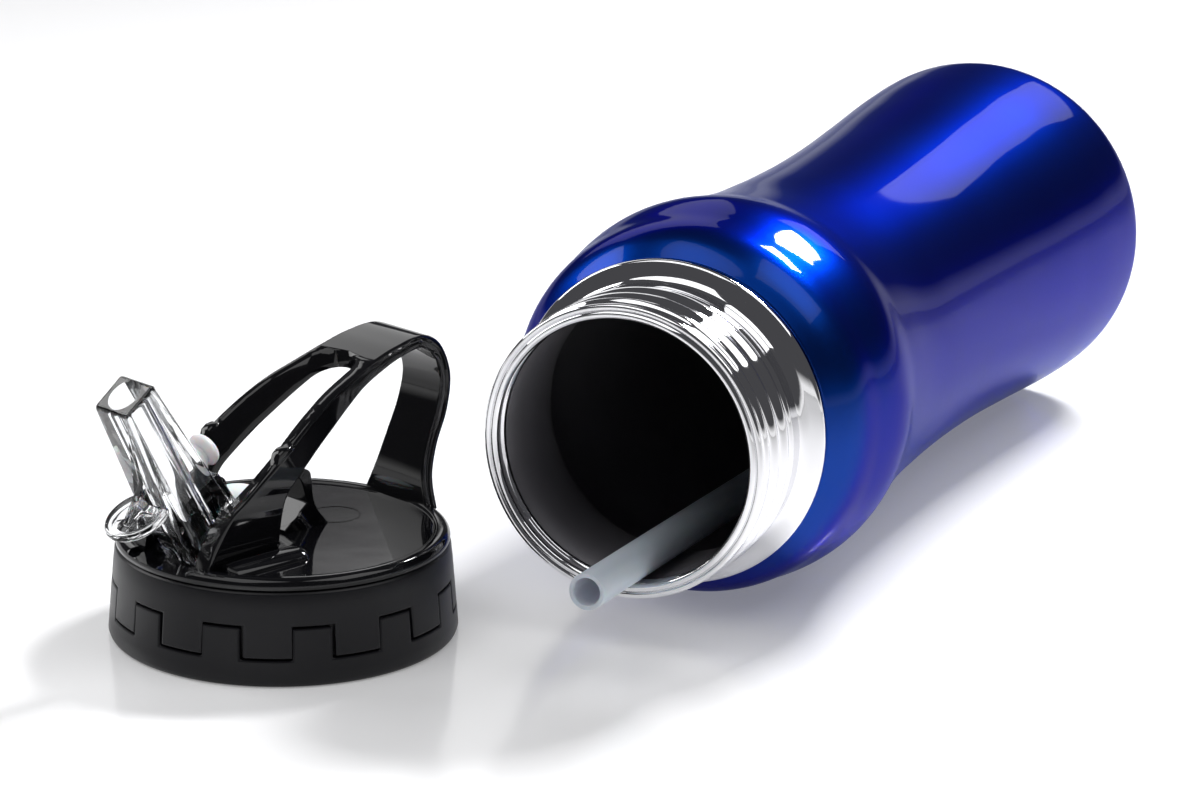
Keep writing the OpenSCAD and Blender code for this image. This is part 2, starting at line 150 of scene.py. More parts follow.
class Finish:
    """A material: one Principled shader, and the nodes that feed it."""

    def __init__(self, name, **shader):
        self.material = bpy.data.materials.new(name)
        self.material.use_nodes = True
        self.tree = self.material.node_tree
        self.shader = self.tree.nodes["Principled BSDF"]
        self.set(**shader)

    def feed(self, node, inputs):
        for key, value in inputs.items():
            socket = node.inputs[key]
            if isinstance(value, Signal):
                self.tree.links.new(value.socket, socket)
            elif hasattr(value, "__len__") and len(value) == 3 and len(socket.default_value) == 4:
                socket.default_value = (*value, 1)
            else:
                socket.default_value = value

    def set(self, **shader):
        """Feeds the shader's sockets, named with underscores for spaces."""
        self.feed(self.shader, {key.replace("_", " ").title().replace("Ior", "IOR"): value for key, value in shader.items()})
        return self

    def node(self, kind, settings=None, inputs=None, output=0):
        node = self.tree.nodes.new(kind)
        for key, value in (settings or {}).items():
            if key == "stops":
                ramp = node.color_ramp
                for i, (place, shade) in enumerate(value):
                    stop = ramp.elements[i] if i < 2 else ramp.elements.new(place)
                    stop.position, stop.color = place, (*shade, 1)
            else:
                setattr(node, key, value)
        self.feed(node, inputs or {})
        return Signal(self, node.outputs[output])

    def place(self):
        """Object coordinates in millimetres."""
        raw = self.node("ShaderNodeTexCoord", output=3)
        return self.node("ShaderNodeVectorMath", {"operation": "SCALE"}, {0: raw, "Scale": 1000})

    def noise(self, scale, detail=2, stretch=(1, 1, 1), rough=0.5, place=None):
        """Noise of about -1 to 1, with scale in features per millimetre."""
        where = self.node("ShaderNodeVectorMath", {"operation": "MULTIPLY"}, {0: place or self.place(), 1: stretch})
        raw = self.node("ShaderNodeTexNoise", None, {"Vector": where, "Scale": scale, "Detail": detail, "Roughness": rough})
        return raw * 2 - 1

    def bump(self, height, depth, strength=1, over=None):
        """A normal from a height of 0 to 1 that stands for a depth in millimetres."""
        inputs = {"Height": height, "Distance": depth * MM, "Strength": strength}
        if over is not None:
            inputs["Normal"] = over
        return self.node("ShaderNodeBump", None, inputs)

    def blend(self, share, low, high):
        """Mixes two colours by a share of 0 to 1."""
        return self.node("ShaderNodeMix", {"data_type": "RGBA"}, {0: share, 6: low, 7: high}, output=2)


SHELL = [(28.5, 22.05), (31.4, 25.4), (33.9, 35), (34.95, 43), (33.5, 53.5), (32.0, 67), (31.15, 85),
         (30.9, 103), (31.55, 130), (33.15, 154.8), (34.6, 174.8), (35, 185.3)]
body = turned("body_shell_wall", fair(SHELL, 9) + arc(25.5, 185.3, 9.5, 0, 84, 14)[1:], mouth, ALONG, ACROSS)
apply(body, "SOLIDIFY", thickness=0.6 * MM, offset=-1)

paint = Finish("candy_blue", metallic=1, coat_weight=0.24, coat_roughness=0.04, coat_ior=1.5,
               specular_tint=(0.01, 0.10, 0.5))
flake = paint.noise(6, 1, rough=0.6)
cloud = paint.noise(0.05, 2)
paint.set(base_color=paint.blend((cloud + 1) * 0.5, (0.001, 0.030, 0.23), (0.0015, 0.040, 0.29)),
          roughness=0.30 + flake * 0.03, normal=paint.bump(flake, 0.004, 0.5))
body.data.materials.append(paint.material)
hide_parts("body_shell")
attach(body, "bottle")

# --- Threaded neck --------------------------------------------------------------------------
# The neck is left bare and mirror polished. Its lip is rolled into two beads, the thread is
# rolled into the wall, and a flat collar ends it where the paint begins.

THREAD_START, THREAD_END, PITCH, RIDGE = 2.6, 15.6, 4.2, 0.75
beads = arc(23.75, 0.75, 0.75, 180, 300, 8) + arc(24.95, 0.85, 0.65, 215, 380, 12)
wall = [(25.15, 1.8)] + [(25.15, 2.1 + 0.2 * k) for k in range(76)]
flare = [(25.15, 17.5), (25.3, 18.3), (25.8, 18.9), (26.8, 19.4), (28.0, 19.8)] + arc(28.1, 20.7, 0.75, -80, 60, 7)
inside = [(27.9, 21.9), (27.6, 20.9), (26.6, 20.3), (25.4, 19.6), (24.7, 18.6), (24.4, 17), (24.4, 4.9)]
inside += arc(23.95, 3.9, 0.8, 60, 300, 12) + [(24.45, 2.9), (24.35, 2.1), (23.95, 1.6)]
neck = turned("neck_ring", beads + wall + flare + inside, mouth, ALONG, ACROSS, 240, closed=True)
for point in neck.data.vertices:
    away = point.co - mouth
    radius, reach = math.hypot(away.x, away.z) / MM, away.y / MM
    if 25.1 < radius < 25.2 and 2 < reach < 17.4:
        turn = math.atan2(away.z, away.x) / math.tau
        wave = 0.5 + 0.5 * math.cos(math.tau * ((reach - THREAD_START) / PITCH - turn))
        fade = min(1, max(0, (reach - THREAD_START) / 1.2)) * min(1, max(0, (THREAD_END - reach) / 1.6))
        grow = 1 + RIDGE * (wave ** 1.4) * fade * fade * (3 - 2 * fade) / radius
        point.co = (mouth.x + away.x * grow, point.co.y, mouth.z + away.z * grow)

steel = Finish("polished_steel", metallic=1, base_color=(0.80, 0.80, 0.82))
lines = steel.noise(9, 3, (0.02, 1, 0.02))
smear = steel.noise(0.35, 3)
steel.set(roughness=0.045 + lines * 0.02 + smear * 0.015, normal=steel.bump(lines, 0.0015, 0.35))
neck.data.materials.append(steel.material)
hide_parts("threaded_neck")
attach(neck, "bottle")

# --- Inner liner ----------------------------------------------------------------------------
# A second drawn wall stands inside the shell with an empty gap between them. It is steel
# coloured a dark grey, with faint rings from drawing, and is welded to the neck just behind the lip.

LINER = [(30.9, 35), (31.95, 43), (30.5, 53.5), (29.0, 67), (28.15, 85), (27.9, 103), (28.55, 130),
         (30.15, 154.8), (31.6, 174.8), (31.9, 179)]
throat = [(23.75, 2.7), (23.75, 21), (23.85, 23.2), (24.5, 25), (26.6, 27.6), (29.3, 31.4)]
dish = arc(24.2, 179.4, 7.7, 0, 90, 10) + [(18, 187.1), (10, 187.1), (0, 187.1)]
liner = turned("liner_wall", throat + fair(LINER, 5) + dish, mouth, ALONG, ACROSS, 128)
bpy.ops.object.mode_set(mode="EDIT")
bpy.ops.mesh.select_all(action="SELECT")
bpy.ops.mesh.normals_make_consistent(inside=True)
bpy.ops.object.mode_set(mode="OBJECT")
apply(liner, "SOLIDIFY", thickness=0.55 * MM, offset=-1)

bare = Finish("drawn_steel", metallic=0.3, base_color=(0.17, 0.165, 0.18))
rings = bare.noise(1.1, 3, (0.01, 1, 0.01))
bare.set(roughness=0.42 + rings * 0.08, normal=bare.bump(rings, 0.01, 0.4))
liner.data.materials.append(bare.material)
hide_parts("inner_liner")
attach(liner, "bottle")

# --- Base cap -------------------------------------------------------------------------------
# The pressed disc that closes the outer wall: a flat standing ring, a step in, and a
# shallow recess, welded round its edge and brushed.

standing = [(26.35, 194.0), (26.35, 194.6), (26.1, 194.8), (22.2, 194.8), (21.6, 194.6), (20.4, 192.7), (19.8, 192.4)]
recess = [(9, 192.4), (8.2, 192.6), (7.4, 192.4), (0, 192.4), (0, 191.8), (19.6, 191.8), (21.8, 194.0)]
cap = turned("base_disc", standing + recess, mouth, ALONG, ACROSS, 128, closed=True)
brushed = Finish("brushed_base", metallic=1, base_color=(0.62, 0.63, 0.65))
brush = brushed.noise(5, 3, (1, 1, 0.05))
brushed.set(roughness=0.28 + brush * 0.07, normal=brushed.bump(brush, 0.004, 0.4))
cap.data.materials.append(brushed.material)
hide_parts("base_cap")
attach(cap, "bottle")

# --- Straw ----------------------------------------------------------------------------------
# A loose extruded tube of milky polypropylene, cut square at both ends, lying in the mouth.

straw_low, straw_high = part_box("straw")
STRAW_R, STRAW_BORE, STRAW_LENGTH = 3.15, 2.35, 190
slide = next(j for j in frame["joints"] if j["name"] == "straw_slide")
inward = -Vector(slide["axis"]).normalized()
straw_side = inward.cross(UP).normalized()
outer_end = mouth + ACROSS * 2 * MM
outer_end.z = straw_high.z - math.hypot(inward.x, inward.y) * STRAW_R * MM
outer_end += Vector((inward.x, inward.y, 0)) * (-17.9 * MM)
rim_cut = [(STRAW_BORE + 0.15, 0), (STRAW_R - 0.2, 0), (STRAW_R - 0.05, 0.06), (STRAW_R, 0.25)]
far_cut = [(STRAW_R, STRAW_LENGTH - 0.25), (STRAW_R - 0.1, STRAW_LENGTH), (STRAW_BORE + 0.1, STRAW_LENGTH)]
straw = turned("straw_tube", rim_cut + [(STRAW_R, 60), (STRAW_R, 120)] + far_cut
               + [(STRAW_BORE, STRAW_LENGTH - 0.3), (STRAW_BORE, 120), (STRAW_BORE, 60), (STRAW_BORE, 0.2)],
               outer_end, inward, straw_side, 64, closed=True)
milky = Finish("milky_tube", base_color=(0.80, 0.87, 0.96), transmission_weight=0.3, ior=1.45,
               subsurface_weight=0.15, subsurface_scale=0.004)
haze = milky.noise(0.6, 2)
milky.set(roughness=0.34 + haze * 0.05)
straw.data.materials.append(milky.material)
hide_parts("straw")
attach(straw, "straw")

# --- Lid skirt and grip ring ----------------------------------------------------------------
# The skirt is a satin moulding with a threaded sleeve. A lower ring is snapped on from
# below, and its square teeth stand in matching notches, with a fine open joint between them.

ring_low, ring_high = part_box("lid_grip_ring")
lid = Vector(((ring_low.x + ring_high.x) / 2, (ring_low.y + ring_high.y) / 2, 0))
FOOT_R, TOP_R, SKIRT_H, TEETH, TOOTH = 30.0, 28.7, 16.2, 12, 13
JOINT_LOW, JOINT_HIGH, SLEEVE = 5.0, 10.4, 28.3
hinge = next(j for j in frame["joints"] if j["name"] == "spout_hinge")
sideways = Vector(hinge["axis"]).normalized()
forward = sideways.cross(UP).normalized()


def skirt_radius(height):
    return FOOT_R + (TOP_R - FOOT_R) * max(height - 1.2, 0) / (SKIRT_H - 1.2)


def pull(piece, height, rise, in_teeth, width, growth):
    """Draws the ring's end faces at a height up or down, within the teeth or between them."""
    bpy.ops.object.mode_set(mode="EDIT")
    bpy.ops.mesh.select_all(action="DESELECT")
    bpy.ops.object.mode_set(mode="OBJECT")
    for face in piece.data.polygons:
        spot = face.center - lid
        angle = math.degrees(math.atan2(spot.dot(sideways), spot.dot(forward))) % (360 / TEETH)
        offset = min(angle, 360 / TEETH - angle)
        level = abs(face.center.z / MM - height) < 0.01 and abs(face.normal.z) > 0.9
        face.select = level and math.hypot(spot.x, spot.y) > SLEEVE * MM and (offset < width / 2) == in_teeth
    bpy.ops.object.mode_set(mode="EDIT")
    bpy.ops.mesh.extrude_region_move(TRANSFORM_OT_translate={"value": (0, 0, rise * MM)})
    bpy.ops.object.mode_set(mode="OBJECT")
    for point in piece.data.vertices:
        away = math.hypot(point.co.x - lid.x, point.co.y - lid.y)
        if point.select and away > (SLEEVE + 0.3) * MM:
            grow = 1 + growth * MM / away
            point.co = (lid.x + (point.co.x - lid.x) * grow, lid.y + (point.co.y - lid.y) * grow, point.co.z)


GAP = 0.35
foot = [(SLEEVE + 0.05, 0), (FOOT_R - 0.9, 0), (FOOT_R - 0.3, 0.35), (FOOT_R, 1.2), (skirt_radius(3), 3),
        (skirt_radius(JOINT_LOW - GAP), JOINT_LOW - GAP), (SLEEVE + 0.05, JOINT_LOW - GAP)]
grip = turned("grip_ring_band", foot, lid, UP, forward, 360, closed=True)
pull(grip, JOINT_LOW - GAP, JOINT_HIGH - JOINT_LOW, True, TOOTH,
     skirt_radius(JOINT_HIGH) - skirt_radius(JOINT_LOW))
apply(grip, "BEVEL", width=0.28 * MM, segments=2, limit_method="ANGLE", angle_limit=math.radians(40))
bpy.ops.object.shade_smooth_by_angle(angle=math.radians(35))

skirt_outline = [(27, 0.8), (SLEEVE, 0.8), (SLEEVE, JOINT_HIGH), (skirt_radius(JOINT_HIGH), JOINT_HIGH),
                 (skirt_radius(13), 13), (TOP_R, SKIRT_H - 0.6), (TOP_R - 0.2, SKIRT_H - 0.15), (TOP_R - 0.6, SKIRT_H),
                 (27, SKIRT_H)]
threads = []
for k in range(3, -1, -1):
    middle = 2.9 + k * 3.6
    threads += [(27, middle + 1.3), (26.2, middle + 0.3), (26.2, middle - 0.3), (27, middle - 1.3)]
skirt = turned("skirt_band", skirt_outline + threads, lid, UP, forward, 360, closed=True)
pull(skirt, JOINT_HIGH, JOINT_LOW - JOINT_HIGH, False, TOOTH + 2 * 0.7,
     skirt_radius(JOINT_LOW) - skirt_radius(JOINT_HIGH))
apply(skirt, "BEVEL", width=0.28 * MM, segments=2, limit_method="ANGLE", angle_limit=math.radians(40))
bpy.ops.object.shade_smooth_by_angle(angle=math.radians(35))

satin = Finish("satin_black", base_color=(0.006, 0.006, 0.008), specular_ior_level=0.28)
grain = satin.noise(3.5, 3, rough=0.65)
scuff = satin.noise(0.12, 3)
satin.set(roughness=0.36 + grain * 0.05 + scuff * 0.04, normal=satin.bump(grain, 0.012, 0.35))
for piece, node in ((grip, "lid_grip_ring"), (skirt, "lid_skirt")):
    piece.data.materials.append(satin.material)
    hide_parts(node)
    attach(piece, "lid")

# --- Lid top --------------------------------------------------------------------------------
# One glossy black moulding: a flat deck inside a rounded rim, a deep trough for the spout
# between two thin side walls, a socket for the straw below, and a ridge beside each front leg.

DECK, RIM, HINGE_X, HINGE_Z, TROUGH = 17.9, 18.4, -17.0, 18.5, 5.0


def in_lid(x, y, z):
    return lid + (forward * x + sideways * y + UP * z) * MM


def prism(name, points, rise):
    """A solid drawn from a closed outline of points and one straight pull, in millimetres."""
    piece = trace(points + points[:1], points[0])
    piece.name = name
    bpy.ops.mesh.select_all(action="SELECT")
    bpy.ops.mesh.remove_doubles(threshold=0.005 * MM)
    bpy.ops.mesh.edge_face_add()
    bpy.ops.mesh.extrude_region_move(TRANSFORM_OT_translate={"value": rise * MM})
    bpy.ops.mesh.select_all(action="SELECT")
    bpy.ops.mesh.normals_make_consistent(inside=False)
    bpy.ops.object.mode_set(mode="OBJECT")
    return piece


def combine(piece, other, kind):
    """Joins another solid to a piece, or cuts it away, and uses the other one up."""
    apply(piece, "BOOLEAN", operation=kind, object=other, solver="EXACT")
    bpy.data.meshes.remove(other.data)
    return piece


def soften(piece, width, limit=40, segments=2):
    """Rounds a piece's sharp edges and evens its shading."""
    apply(piece, "BEVEL", width=width * MM, segments=segments, limit_method="ANGLE",
          angle_limit=math.radians(limit), use_clamp_overlap=True)
    bpy.ops.object.shade_smooth_by_angle(angle=math.radians(40))
    return apply(piece, "WEIGHTED_NORMAL", keep_sharp=True, weight=80)


def side_plate(name, outline, low, high, place=in_lid):
    return prism(name, [place(x, low, z) for x, z in outline], sideways * (high - low))


deck = turned("lid_top_deck", [(0, 16), (22.9, 16), (26.9, 16), (26.9, 16.35), (28.2, 16.35), (28.5, 16.5)]
              + arc(27.1, RIM - 1.5, 1.5, 0, 90, 8) + [(26.5, RIM), (26.2, RIM - 0.06), (26.0, RIM - 0.2),
              (25.85, DECK + 0.1), (25.6, DECK), (0, DECK)], lid, UP, forward, 256, closed=True)
cup = side_plate("cup", [(-22.3, 10.2), (-4.2, 10.2), (-4.2, 16.6), (-22.3, 16.6)], -6.1, 6.1)
edge = turned("cup_edge", [(0, 9), (22.6, 9), (22.6, 17), (0, 17)], lid, UP, forward, 96, closed=True)
combine(cup, edge, "INTERSECT")
combine(deck, cup, "UNION")
socket = turned("straw_socket", [(0, 3.4), (4.3, 3.4), (4.6, 3.7), (4.6, 10.4), (0, 10.4)],
                in_lid(HINGE_X + 2.7, 0, 0), UP, forward, 64, closed=True)
combine(deck, socket, "UNION")
trough = [(-24.4, 17), (-21.7, 17), (-21.3, 16.6), (-21.3, 11.4), (-5.4, 11.4), (-5.4, 30), (-24.4, 30)]
combine(deck, side_plate("trough_cut", trough, -TROUGH, TROUGH), "DIFFERENCE")
lip = [(-30, 17.5), (-24.6, 17.5), (-22.7, 17.9), (-22.7, 20), (-30, 20)]
combine(deck, side_plate("lip_cut", lip, -7.6, 7.6), "DIFFERENCE")
bore = turned("socket_bore", [(0, 2), (3.25, 2), (3.25, 9.4), (2, 9.4), (2, 12), (0, 12)],
              in_lid(HINGE_X + 2.7, 0, 0), UP, forward, 64, closed=True)
combine(deck, bore, "DIFFERENCE")
soften(deck, 0.22)


def spread(rows, steps):
    """More rows between the given ones, on smooth curves through every column."""
    fine = []
    for i in range(len(rows) - 1):
        a, b, c, d = rows[max(i - 1, 0)], rows[i], rows[i + 1], rows[min(i + 2, len(rows) - 1)]
        for k in range(steps):
            t = k / steps
            fine.append([0.5 * (2 * q + (r - p) * t + (2 * p - 5 * q + 4 * r - s) * t * t
                                + (3 * q - p - 3 * r + s) * t ** 3) for p, q, r, s in zip(a, b, c, d)])
    return fine + [rows[-1]]


wall = spread([(-9.6, 28), (-8.6, 27.4), (-8.1, 26), (-7.6, 22), (-6.8, 19.5), (-5, DECK - 0.4)], 4)
wall = [(-23, DECK - 0.4), (-23, DECK + 0.6), (-19.5, 23.4), (-13.6, 26.6)] + wall
extras = []
for side in (-1, 1):
    plate = side_plate("trough_wall", wall, side * (TROUGH + 0.5) - 0.5, side * (TROUGH + 0.5) + 0.5)
    extras.append(soften(plate, 0.2, 60))
    boss = turned("axle_boss", [(0, 0), (2.5, 0), (2.5, 3.2), (0, 3.2)], in_lid(HINGE_X, side * 6.7 - 1.6, HINGE_Z),
                  sideways, forward, 64, closed=True)
    extras.append(boss)
    pad = turned("foot_ridge", [(0, -0.6), (2.6, 0), (2.9, 2), (3.0, 8)] + arc(1.2, 13.8, 1.8, 0, 88, 8) + [(0, 15.6)],
                 in_lid(-22, side * 12.6, DECK - 0.1), forward, sideways, 64, closed=True)
    for point in pad.data.vertices:
        point.co.z = (DECK - 0.1) * MM + (point.co.z - (DECK - 0.1) * MM) * 0.58
    extras.append(pad)
extras.append(turned("deck_ring", [(4.2, DECK - 0.1), (4.28, DECK + 0.06), (4.5, DECK + 0.06), (4.58, DECK - 0.1)],
                     in_lid(11.5, 0, 0), UP, forward, 96, closed=True))
seat_out = forward * math.cos(math.radians(51)) - UP * math.sin(math.radians(51))
seat_foot = in_lid(HINGE_X, 0, HINGE_Z) + (forward * math.sin(math.radians(51)) + UP * math.cos(math.radians(51))) * 14.8 * MM
seat = turned("plug_seat", [(0.9, 9.6), (2.7, 9.6), (3, 9.9), (3, 15.5), (0.9, 15.5)], seat_foot, seat_out, sideways, 64, closed=True)
seat_room = side_plate("seat_room", [(-6, DECK - 0.9), (8, DECK - 0.9), (8, 30), (-6, 30)], -4, 4)
extras.append(combine(seat, seat_room, "INTERSECT"))
post = spread([(3.5, 28.2), (4.0, 27.6), (4.3, 26), (4.6, 23), (5.4, 21), (6.6, 19.4), (8.2, DECK - 0.3)], 4)
post = [(-1.9, DECK - 0.3), (-1.9, 18.35), (3.1, 22.42), (2.9, 23.6), (2.55, 24.8), (2.15, 26), (1.65, 27), (2.8, 28.2)] + post
extras.append(soften(side_plate("seat_post", post, -2.6, 2.6), 0.5, 50, 3))
bpy.ops.object.select_all(action="DESELECT")
for extra in extras + [deck]:
    extra.select_set(True)
bpy.context.view_layer.objects.active = deck
bpy.ops.object.join()

gloss = Finish("gloss_black", base_color=(0.004, 0.004, 0.005), specular_ior_level=0.42)
sink = gloss.noise(0.09, 2)
dust = gloss.noise(2.2, 4, rough=0.7)
hairline = gloss.noise(1.1, 3, stretch=(0.15, 4, 1))
gloss.set(roughness=0.055 + (dust ** 2) * 0.12 + (hairline ** 2) * 0.03, normal=gloss.bump(sink, 0.006, 0.4))
deck.data.materials.append(gloss.material)
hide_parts("lid_top")
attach(deck, "lid")

# --- Carry loop -----------------------------------------------------------------------------
# Moulded in the same glossy black. Two legs rise either side of the spout, run together at
# the top and come down as one rear leg. Each side has a fine raised edge over a flat web.

# outer x, outer z, inner x, inner z, half width
legs = spread([(-24.6, DECK - 0.3, -9.2, DECK - 0.3, 10.2), (-23.4, 21.4, -9, 21, 10.4), (-20.2, 26.2, -8.4, 25, 10.5),
               (-16.3, 29, -7.2, 28.1, 10.5), (-9.7, 34, -4.7, 30.6, 10.5), (-4.5, 37.8, 0, 34.4, 9.9),
               (0, 40.6, 3.8, 37.1, 9.3), (4, 42.7, 7.5, 39.6, 8.6), (10, 45, 12, 42.3, 7.8),
               (15, 46.7, 16.5, 44.3, 7.4), (20, 48.1, 21, 45.8, 7.1), (26, 48.8, 26.2, 46.4, 6.5),
               (31, 46.4, 29.8, 44, 5.7), (33.8, 40.5, 31.5, 40, 5.4), (33, 34, 30.6, 34.6, 5.5),
               (30.4, 28, 28, 28.4, 5.7), (28.6, 22.6, 26.2, 22.8, 6.6), (27.9, DECK - 0.3, 25.4, DECK - 0.3, 8.6)], 6)
rings = []
for ox, oz, ix, iz, half in legs:
    thick = math.hypot(ix - ox, iz - oz)
    right_side = [(0, 0), (0, half - 0.6), (0.16, half - 0.18), (0.55, half), (0.95, half), (1.2, half - 0.25),
                  (thick - 0.45, half - 0.25), (thick - 0.1, half - 0.4), (thick, half - 0.75), (thick, 0)]
    section = right_side + [(p, -y) for p, y in reversed(right_side[1:-1])]
    rings.append([in_lid(ox + (ix - ox) * p / thick, y, oz + (iz - oz) * p / thick) for p, y in section])
loop = trace(rings[0] + rings[0][:1], rings[0][0])
loop.name = "carry_loop_band"
bpy.ops.mesh.select_all(action="SELECT")
bpy.ops.mesh.remove_doubles(threshold=0.005 * MM)
bpy.ops.mesh.edge_face_add()
for before, after in zip(rings, rings[1:]):
    bpy.ops.mesh.extrude_region_move()
    bpy.ops.object.mode_set(mode="OBJECT")
    for point in [v for v in loop.data.vertices if v.select]:
        nearest = min(range(len(before)), key=lambda i: (before[i] - point.co).length)
        point.co = after[nearest]
    bpy.ops.object.mode_set(mode="EDIT")
bpy.ops.mesh.select_all(action="SELECT")
bpy.ops.mesh.normals_make_consistent(inside=False)
bpy.ops.object.mode_set(mode="OBJECT")
SLOT_END, SLOT_R = 14.8, 5.3
half_slot = [(-26, 6.6), (-20, 7.5), (-14, 8.2), (-8, 8.2), (0, 7)]
slot = half_slot + arc(SLOT_END - SLOT_R, 0, SLOT_R, 84, -84, 20) + [(x, -y) for x, y in reversed(half_slot)]
combine(loop, prism("slot_cut", [in_lid(x, y, 15) for x, y in slot], UP * 50), "DIFFERENCE")
soften(loop, 0.3, 55)
for side in (-1, 1):
    nub = side_plate("stop_nub", [(-9.9, 33.4), (-9.4, 35.2), (-8.3, 36), (-7, 36.2), (-6, 35.4)],
                     side * 9.4 - 1.1, side * 9.4 + 1.1)
    soften(nub, 0.35)
    combine(loop, nub, "UNION")
loop.data.materials.append(gloss.material)
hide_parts("carry_loop")
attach(loop, "lid")

# --- Gasket, valve and spout seal -----------------------------------------------------------
# Three soft silicone mouldings: a flat ring pressed under the deck, a domed air valve with its
# stem through the deck, and a cradle that the spout's round hub turns on.

gasket = turned("lid_gasket_ring", [(22.95, 14.4), (26.3, 14.4), (26.6, 14.5), (26.8, 14.9), (26.8, 15.9), (22.95, 15.9),
                                    (22.95, 15.3), (23.1, 15.15), (22.95, 15.0)], lid, UP, forward, 192, closed=True)
valve = turned("vent_valve_dome", [(0, 15.1), (1.2, 15.1), (1.2, DECK), (4.15, DECK + 0.02), (4.35, DECK + 0.1), (4.3, DECK + 0.28),
                                   (3.8, DECK + 0.6), (3, DECK + 0.92), (2, DECK + 1.18), (1, DECK + 1.29), (0, DECK + 1.32)],
               in_lid(6.5, 20.4, 0), UP, forward, 96, closed=True)
cradle = side_plate("spout_seal_cradle", [(-21.2, 11.45), (-11.2, 11.45), (-11.2, 14.95), (-21.2, 14.95)], -4.9, 4.9)
hub_room = turned("hub_room", [(0, 0), (5.28, 0), (5.28, 16), (0, 16)], in_lid(HINGE_X, -8, HINGE_Z), sideways, forward, 128, closed=True)
combine(cradle, hub_room, "DIFFERENCE")
water_way = turned("water_way", [(0, 10), (2, 10), (2, 16), (0, 16)], in_lid(HINGE_X + 2.7, 0, 0), UP, forward, 64, closed=True)
combine(cradle, water_way, "DIFFERENCE")
soften(cradle, 0.12)

rubber = Finish("white_silicone", subsurface_weight=0.35, subsurface_scale=0.003, specular_ior_level=0.4)
bloom = rubber.noise(0.35, 3)
rubber.set(base_color=rubber.blend((bloom + 1) * 0.5, (0.74, 0.77, 0.80), (0.84, 0.86, 0.88)),
           roughness=0.42 + bloom * 0.08, normal=rubber.bump(rubber.noise(5, 2), 0.01, 0.3))
for piece, node in ((gasket, "lid_gasket"), (valve, "vent_valve"), (cradle, "spout_seal")):
    piece.data.materials.append(rubber.material)
    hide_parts(node)
    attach(piece, "lid")

# --- Spout ----------------------------------------------------------------------------------
# A clear polycarbonate moulding: a square tapered tube with a round bore, on a round hub with
# stub axles, a rimmed thumb tab on a gusset in front, and a lug behind that carries the plug.

LEAN = math.radians(29)
pivot = in_lid(HINGE_X, 0, HINGE_Z)
along = UP * math.cos(LEAN) - forward * math.sin(LEAN)
back = forward * math.cos(LEAN) + UP * math.sin(LEAN)


def on_spout(t, y, s):
    return pivot + (back * t + sideways * y + along * s) * MM


spout = prism("spout_tube", [on_spout(-5.2, -4.7, 0), on_spout(5.2, -4.7, 0), on_spout(5.2, 4.7, 0), on_spout(-5.2, 4.7, 0)],
              along * 2.5)
levels = [(6.5, 5.8, 5.8, 4.69, 6.5), (33.6, 3.6, 3.6, 4.6, 33.6)]
bpy.ops.object.select_all(action="DESELECT")
spout.select_set(True)
bpy.context.view_layer.objects.active = spout
for s, front, rear, half, _ in levels:
    bpy.ops.object.mode_set(mode="EDIT")
    bpy.ops.mesh.select_all(action="DESELECT")
    bpy.ops.object.mode_set(mode="OBJECT")
    highest = max(((f.center - pivot).dot(along), f.index) for f in spout.data.polygons)[1]
    spout.data.polygons[highest].select = True
    bpy.ops.object.mode_set(mode="EDIT")
    bpy.ops.mesh.extrude_region_move()
    bpy.ops.object.mode_set(mode="OBJECT")
    for point in [v for v in spout.data.vertices if v.select]:
        spot = point.co - pivot
        rear_side = spot.dot(back) > 0
        lift = (0.6 if rear_side else -0.6) if s > 30 else 0
        point.co = on_spout(rear if rear_side else -front, half if spot.dot(sideways) > 0 else -half, s + lift)
soften(spout, 0.75, 60, 4)
hub = turned("hub", [(0, 0), (4.9, 0), (5.2, 0.3), (5.2, 9.1), (4.9, 9.4), (0, 9.4)], on_spout(0, -4.7, 0), sideways, back, 128, closed=True)
combine(spout, hub, "UNION")
axle = turned("stub_axles", [(0, 0), (1.35, 0), (1.6, 0.25), (1.6, 14.55), (1.35, 14.8), (0, 14.8)],
              on_spout(0, -7.4, 0), sideways, back, 64, closed=True)
combine(spout, axle, "UNION")
lug = side_plate("lug", [(3, 3), (7.4, 4.1), (7.8, 4.8), (7.3, 10.8), (6.7, 11.45), (3, 11.8)], -2.8, 2.8, on_spout)
combine(spout, soften(lug, 0.4, 60, 3), "UNION")
gusset = side_plate("gusset", [(-4, 13.6), (-11, 14.1), (-11, 14.7), (-4, 19)], -0.6, 0.6, on_spout)
combine(spout, soften(gusset, 0.15), "UNION")
tab = turned("thumb_tab", [(0, 13.5), (4.9, 13.3)] + arc(5.0, 14.0, 0.75, -70, 110, 8) + [(4.2, 14.25), (3.8, 14.1), (0, 14.1)],
             on_spout(-8.4, 0, 0), along, back, 96, closed=True)
combine(spout, tab, "UNION")
tube_bore = turned("tube_bore", [(0, -8), (2.8, -8), (2.8, 32.6), (3.3, 34.6), (3.3, 36), (0, 36)], on_spout(0, 0, 0), along, back, 96, closed=True)
combine(spout, tube_bore, "DIFFERENCE")
bpy.ops.object.shade_smooth_by_angle(angle=math.radians(30))

clear = Finish("clear_plastic", base_color=(0.97, 0.98, 0.99), transmission_weight=1, ior=1.46)
flow = clear.noise(0.25, 2, stretch=(1, 1, 0.3))
clear.set(roughness=0.015 + (clear.noise(1.6, 3) ** 2) * 0.08, normal=clear.bump(flow, 0.05, 0.5))
spout.data.materials.append(clear.material)
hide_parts("spout")
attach(spout, "spout")

# --- Vent plug ------------------------------------------------------------------------------
# A white silicone button pressed on the back of the spout. When the spout folds down, its
# domed head closes the air hole in the deck.

